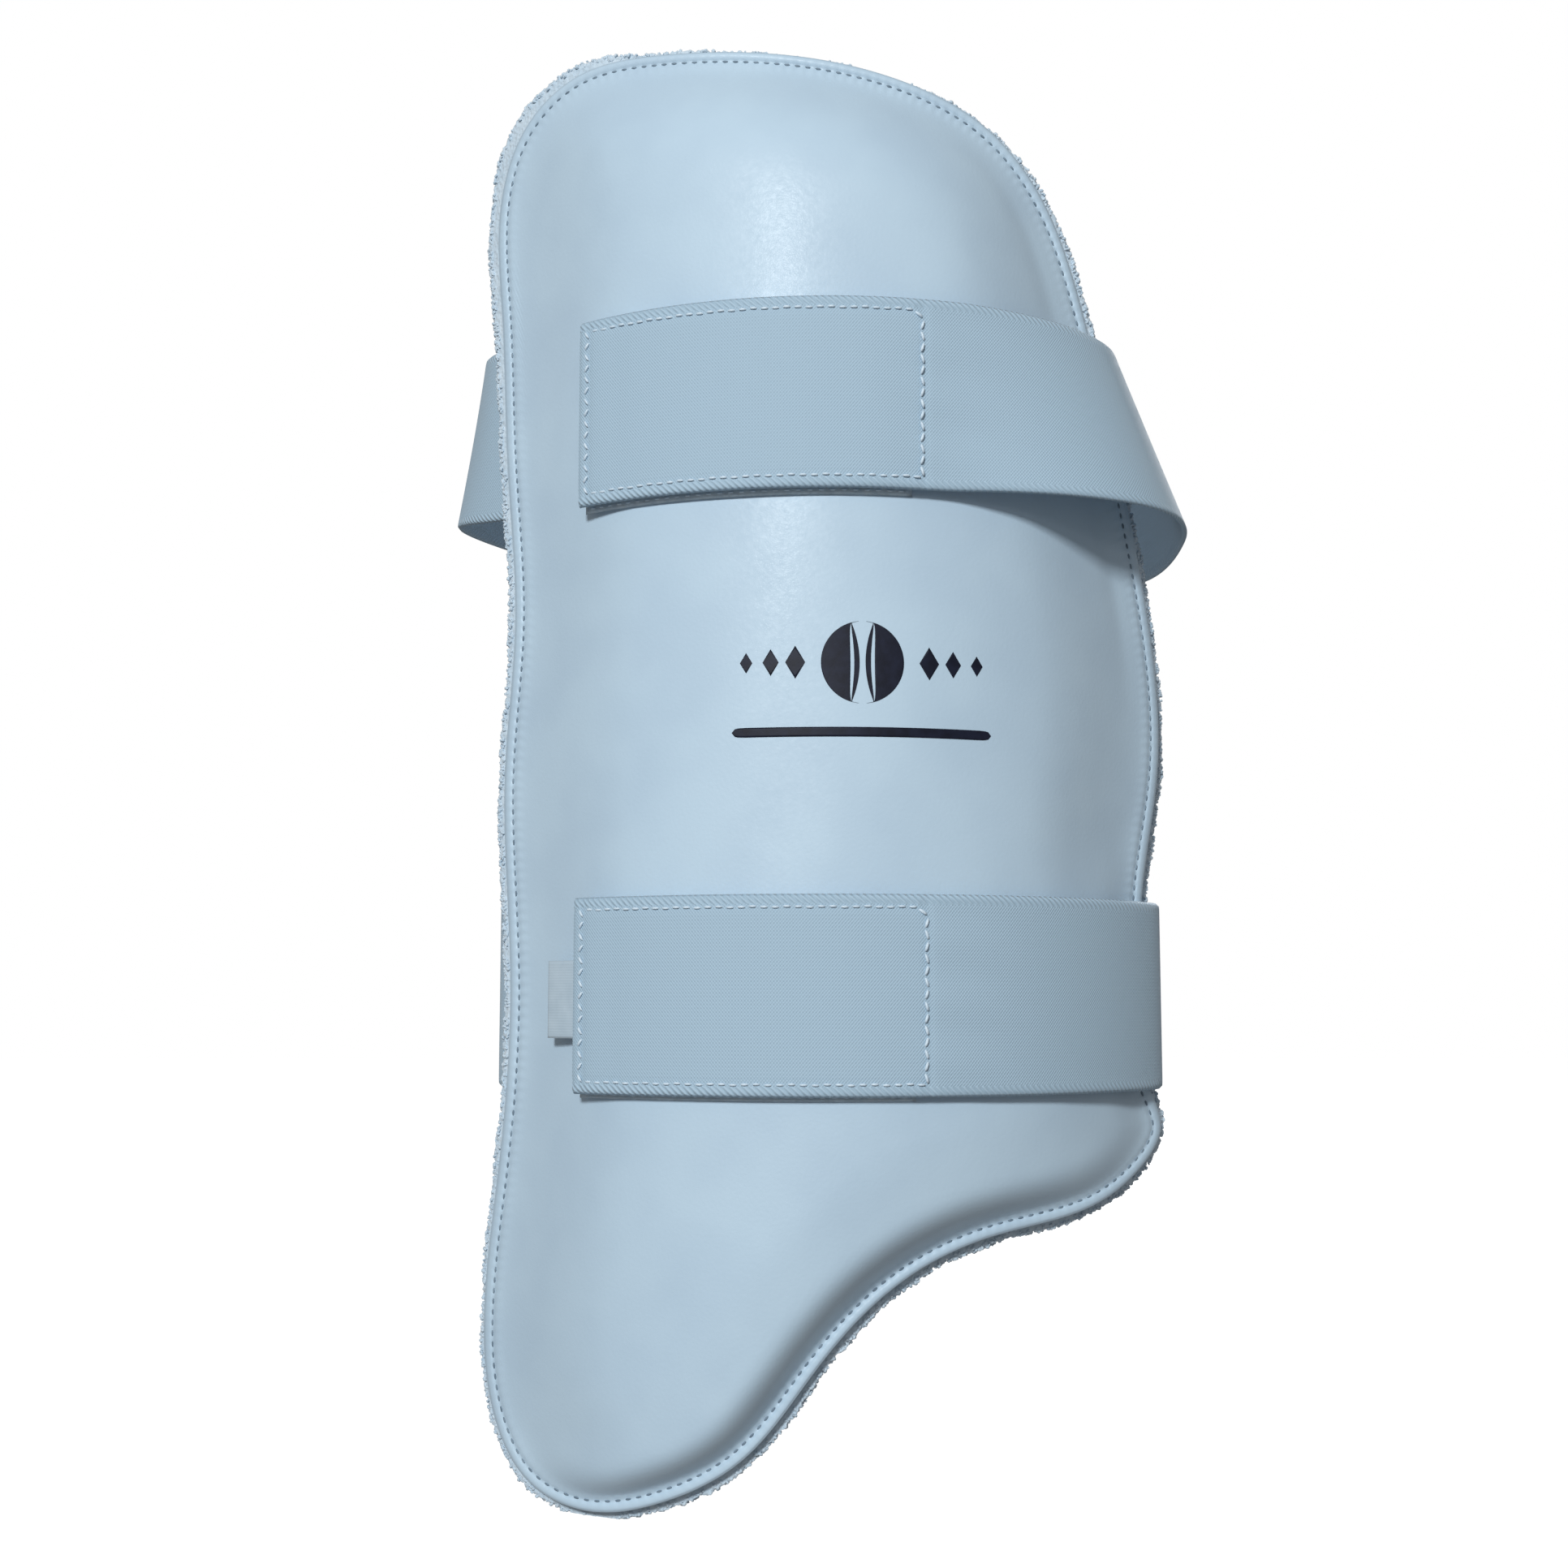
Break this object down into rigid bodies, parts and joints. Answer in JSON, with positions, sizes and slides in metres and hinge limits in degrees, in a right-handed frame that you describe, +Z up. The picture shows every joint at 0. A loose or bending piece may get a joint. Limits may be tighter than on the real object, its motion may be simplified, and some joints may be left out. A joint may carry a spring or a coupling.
{
  "type": "cricket thigh pad",
  "caption": "Moulded cricket thigh guard with a domed foam face and a towelling back, held round the upper leg by two wide elastic straps that close with hook-and-loop tabs.",
  "frame": {"origin": "on the thigh's axis, at the middle of the pad's height", "axes": "+Z up the leg, the pad's face towards -Y, +X towards the side with the short lower wing"},
  "size_m": [0.2145, 0.1904, 0.3912],
  "materials": {
    "pu_skin": "satin moulded polyurethane synthetic leather, fine grain",
    "hard_foam": "closed-cell moulded impact foam, matte",
    "soft_foam": "soft open-cell foam sheet, matte",
    "towelling": "looped cotton towelling",
    "thread": "polyester sewing thread",
    "ink": "screen-printed dark navy ink, slight gloss",
    "label_tape": "smooth woven label tape",
    "loop_fabric": "brushed loop pile fabric",
    "elastic": "woven elastic webbing with ribbed edges",
    "hook_fabric": "nylon hook tape"
  },
  "bodies": {
    "pad": {"face_cover": "pu_skin", "impact_foam": "hard_foam", "comfort_foam": "soft_foam", "towel_lining": "towelling", "edge_thread": "thread", "printed_emblem": "ink", "size_label": "label_tape", "upper_loop_patch": "loop_fabric", "upper_loop_thread": "thread", "upper_elastic_loop": "elastic", "upper_anchor_patch": "pu_skin", "upper_anchor_thread": "thread", "lower_loop_patch": "loop_fabric", "lower_loop_thread": "thread", "lower_elastic_loop": "elastic", "lower_anchor_patch": "pu_skin", "lower_anchor_thread": "thread"},
    "upper_strap": {"upper_elastic_front": "elastic"},
    "lower_strap": {"lower_elastic_front": "elastic"},
    "upper_tab": {"upper_elastic_end": "elastic", "upper_hook_patch": "hook_fabric", "upper_tab_thread": "thread"},
    "lower_tab": {"lower_elastic_end": "elastic", "lower_hook_patch": "hook_fabric", "lower_tab_thread": "thread"}
  },
  "joints": [
    {"name": "upper_strap_swing", "type": "hinge", "parent": "pad", "child": "upper_strap", "pos_m": [0.0995, -0.06, 0.067], "axis": [-0.3723, -0.0191, 0.9279], "range_deg": [0, 110]},
    {"name": "lower_strap_swing", "type": "hinge", "parent": "pad", "child": "lower_strap", "pos_m": [0.084, -0.0678, -0.061], "axis": [0, 0, 1], "range_deg": [0, 110]},
    {"name": "upper_tab_peel", "type": "hinge", "parent": "upper_strap", "child": "upper_tab", "pos_m": [0.02606, -0.10623, 0.0915], "axis": [0, 0, 1], "range_deg": [0, 75]},
    {"name": "lower_tab_peel", "type": "hinge", "parent": "lower_strap", "child": "lower_tab", "pos_m": [0.02606, -0.10623, -0.061], "axis": [0, 0, 1], "range_deg": [0, 75]}
  ]
}
